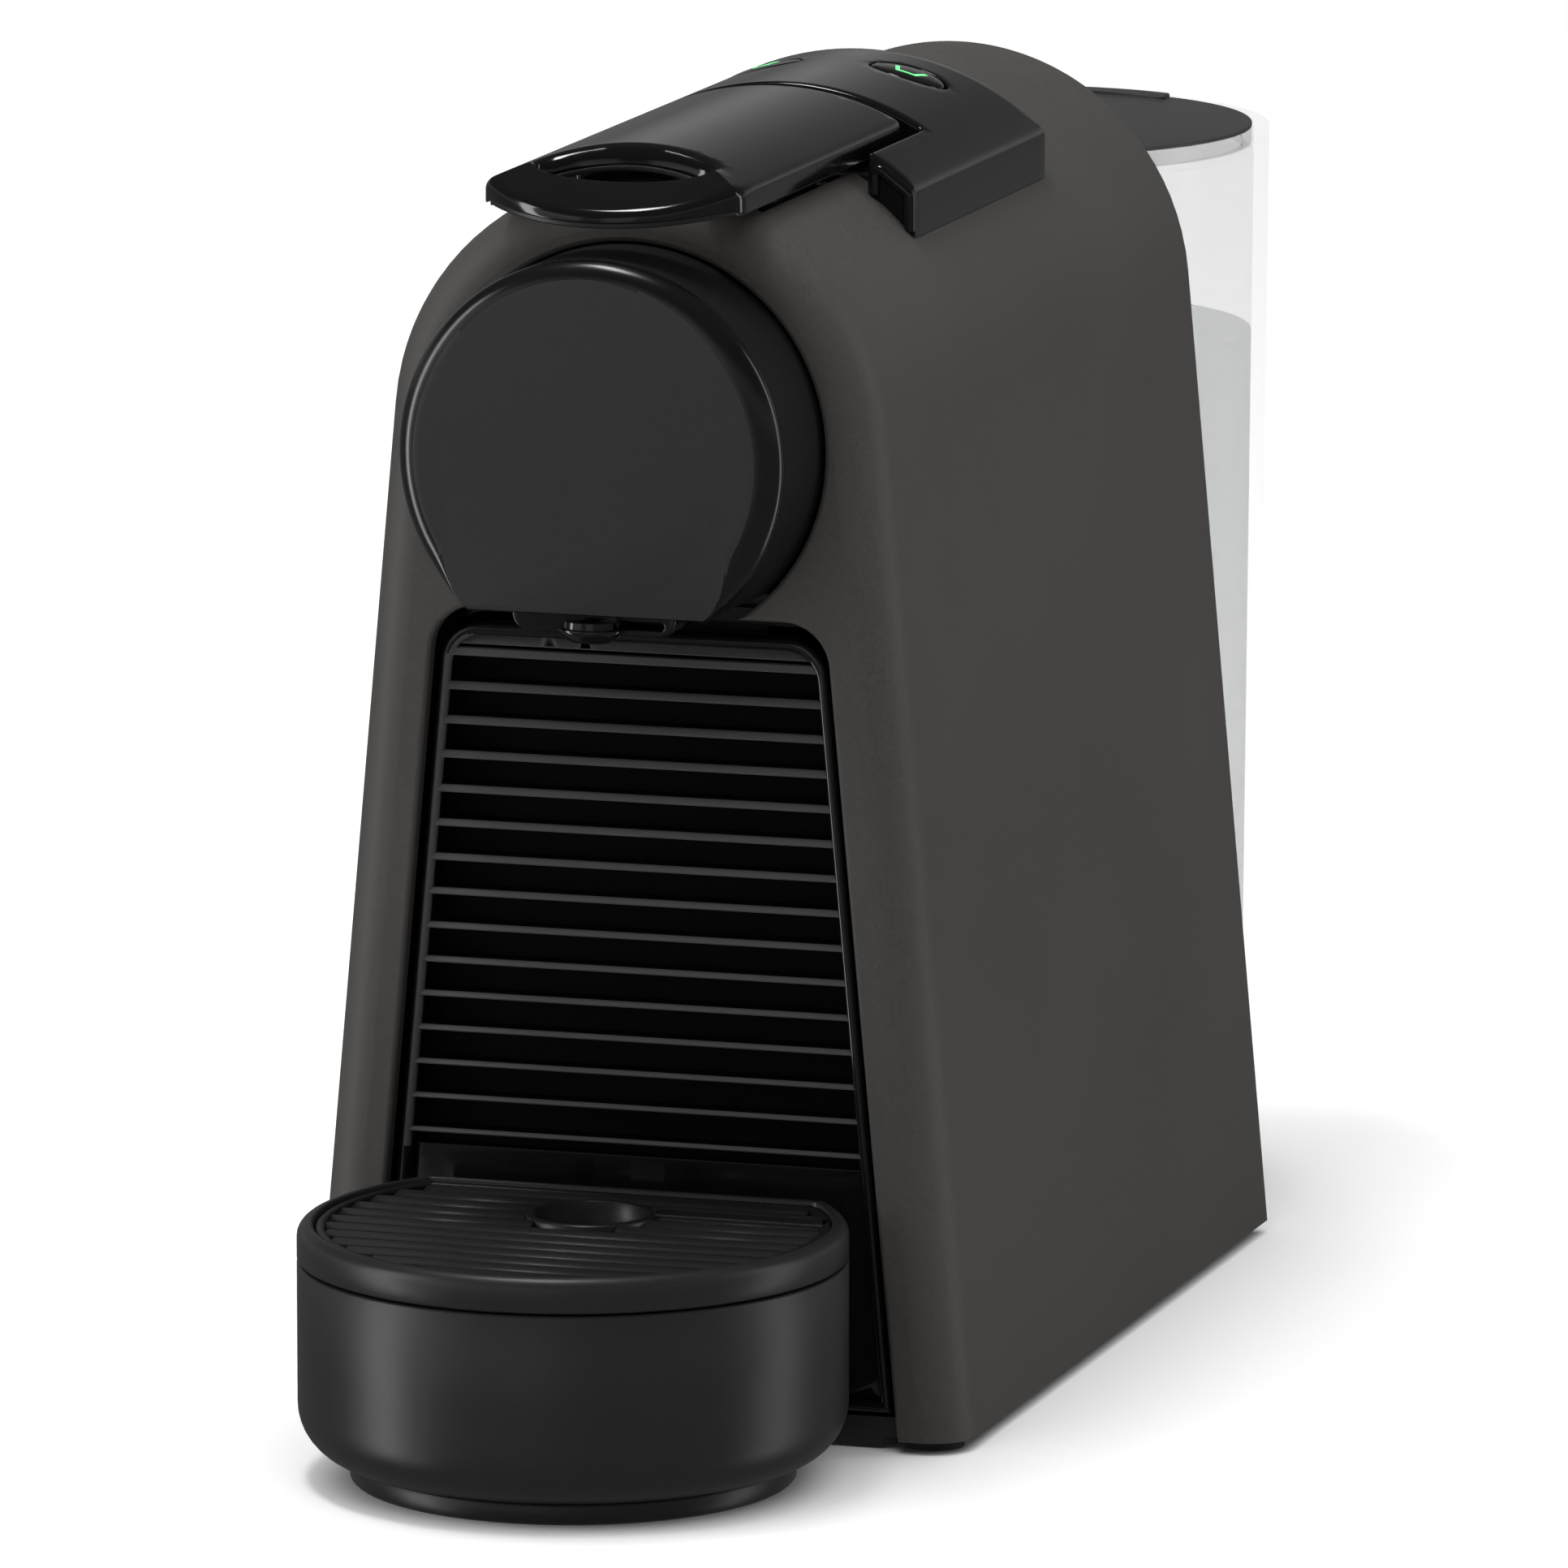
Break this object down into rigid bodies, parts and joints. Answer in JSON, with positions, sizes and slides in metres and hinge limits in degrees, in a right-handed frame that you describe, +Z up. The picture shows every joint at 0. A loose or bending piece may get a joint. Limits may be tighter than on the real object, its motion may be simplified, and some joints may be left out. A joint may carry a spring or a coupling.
{
  "type": "pod coffee machine",
  "caption": "Compact capsule coffee machine: arched body, drum brew head with a spout, lift-up lever, slide-out capsule drawer, round drip tray and a clear rear water tank.",
  "frame": {"origin": "on the table, under the middle of the machine's overall box", "axes": "+Z up, -Y towards the front where the drip tray is, +X to the right seen from the front"},
  "size_m": [0.11, 0.3264, 0.2052],
  "materials": {
    "shell_taupe": "fine grained dark warm grey plastic",
    "gloss_black": "polished black plastic",
    "satin_black": "satin black plastic",
    "lid_grey": "dark grey satin plastic",
    "clear_tank": "clear plastic",
    "foot_rubber": "soft rubber",
    "seal_rubber": "food grade rubber",
    "icon_green": "lit lens",
    "pin_steel": "stainless steel",
    "link_steel": "stamped steel",
    "coil_steel": "laminated steel",
    "pump_brass": "turned brass",
    "cast_alloy": "die cast",
    "fuse_ceramic": "plain",
    "hose_silicone": "milky silicone",
    "board_green": "circuit board",
    "frame_white": "natural glass filled nylon"
  },
  "bodies": {
    "housing": {"outer_shell": "shell_taupe", "chassis_base": "satin_black", "rubber_feet": "foot_rubber", "tank_dock": "satin_black", "dock_valve_seat": "satin_black", "dock_seal": "seal_rubber", "panel_frame": "satin_black", "drum_sleeve": "satin_black", "drum_cap": "gloss_black", "spout_plate": "satin_black", "coffee_nozzle": "satin_black", "coffee_funnel": "satin_black", "piercing_plate": "pin_steel", "brew_frame": "frame_white", "guide_block": "frame_white", "capsule_chute": "satin_black", "control_saddle": "gloss_black", "pivot_bushes": "frame_white", "button_board": "board_green", "pump_body": "pump_brass", "pump_coil": "coil_steel", "pump_mounts": "seal_rubber", "pump_bracket": "satin_black", "thermoblock": "cast_alloy", "thermal_fuses": "fuse_ceramic", "flow_meter": "frame_white", "inlet_hose": "hose_silicone", "suction_hose": "hose_silicone", "pressure_hose": "hose_silicone", "brew_hose": "hose_silicone", "power_board": "board_green", "board_carrier": "satin_black", "cord_gland": "satin_black", "chassis_screws": "pin_steel"},
    "lever": {"lever_plate": "gloss_black", "lever_yoke": "link_steel", "lever_shaft": "pin_steel", "crank_pin": "pin_steel"},
    "toggle_link": {"toggle_links": "link_steel", "link_pin": "pin_steel"},
    "brew_chamber": {"chamber_body": "frame_white", "chamber_seal": "seal_rubber", "chamber_spigot": "pin_steel", "needle_plate": "pin_steel"},
    "button_left": {"button_left_cap": "gloss_black", "button_left_icon": "icon_green"},
    "button_right": {"button_right_cap": "gloss_black", "button_right_icon": "icon_green"},
    "capsule_container": {"louvre_panel": "satin_black", "capsule_bin": "satin_black", "drawer_base": "satin_black"},
    "drip_tray": {"tray_bowl": "satin_black", "tray_rim": "satin_black"},
    "drip_grid": {"drip_grid": "satin_black"},
    "water_tank": {"water_tank": "clear_tank", "tank_valve": "frame_white", "valve_spring": "pin_steel", "valve_gasket": "seal_rubber"},
    "valve_poppet": {"valve_poppet": "frame_white"},
    "tank_lid": {"tank_lid": "lid_grey"}
  },
  "joints": [
    {"name": "lever_pivot", "type": "hinge", "parent": "housing", "child": "lever", "pos_m": [0, -0.0318, 0.1938], "axis": [-1, 0, 0], "range_deg": [0, 72]},
    {"name": "knuckle_pivot", "type": "hinge", "parent": "lever", "child": "toggle_link", "pos_m": [0, -0.04964, 0.19143], "axis": [1, 0, 0], "range_deg": [0, 122.39]},
    {"name": "chamber_slide", "type": "slide", "parent": "housing", "child": "brew_chamber", "axis": [0, 1, 0], "range_m": [0, 0.02207]},
    {"name": "button_left_press", "type": "slide", "parent": "housing", "child": "button_left", "axis": [0.2674, 0, -0.9636], "range_m": [0, 0.001], "stiffness_N_per_m": 600, "springref_m": -0.0003},
    {"name": "button_right_press", "type": "slide", "parent": "housing", "child": "button_right", "axis": [-0.2674, 0, -0.9636], "range_m": [0, 0.001], "stiffness_N_per_m": 600, "springref_m": -0.0003},
    {"name": "container_pull", "type": "slide", "parent": "housing", "child": "capsule_container", "axis": [0, -1, 0], "range_m": [0, 0.12]},
    {"name": "tray_pull", "type": "slide", "parent": "capsule_container", "child": "drip_tray", "axis": [0, -1, 0], "range_m": [0, 0.04]},
    {"name": "grid_lift", "type": "slide", "parent": "drip_tray", "child": "drip_grid", "axis": [0, 0, 1], "range_m": [0, 0.025]},
    {"name": "tank_lift", "type": "slide", "parent": "housing", "child": "water_tank", "axis": [0, 0, 1], "range_m": [0, 0.195]},
    {"name": "poppet_slide", "type": "slide", "parent": "water_tank", "child": "valve_poppet", "axis": [0, 0, -1], "range_m": [0, 0.0017], "deforming": ["valve_spring"]},
    {"name": "lid_lift", "type": "slide", "parent": "water_tank", "child": "tank_lid", "axis": [0, 0, 1], "range_m": [0, 0.03]}
  ],
  "couplings": [
    {"joint": "knuckle_pivot", "follows": "lever_pivot", "ratio": 1.6996},
    {"joint": "chamber_slide", "follows": "lever_pivot", "m_per_rad": 0.017545},
    {"joint": "poppet_slide", "follows": "tank_lift", "ratio": 0.0082051}
  ]
}
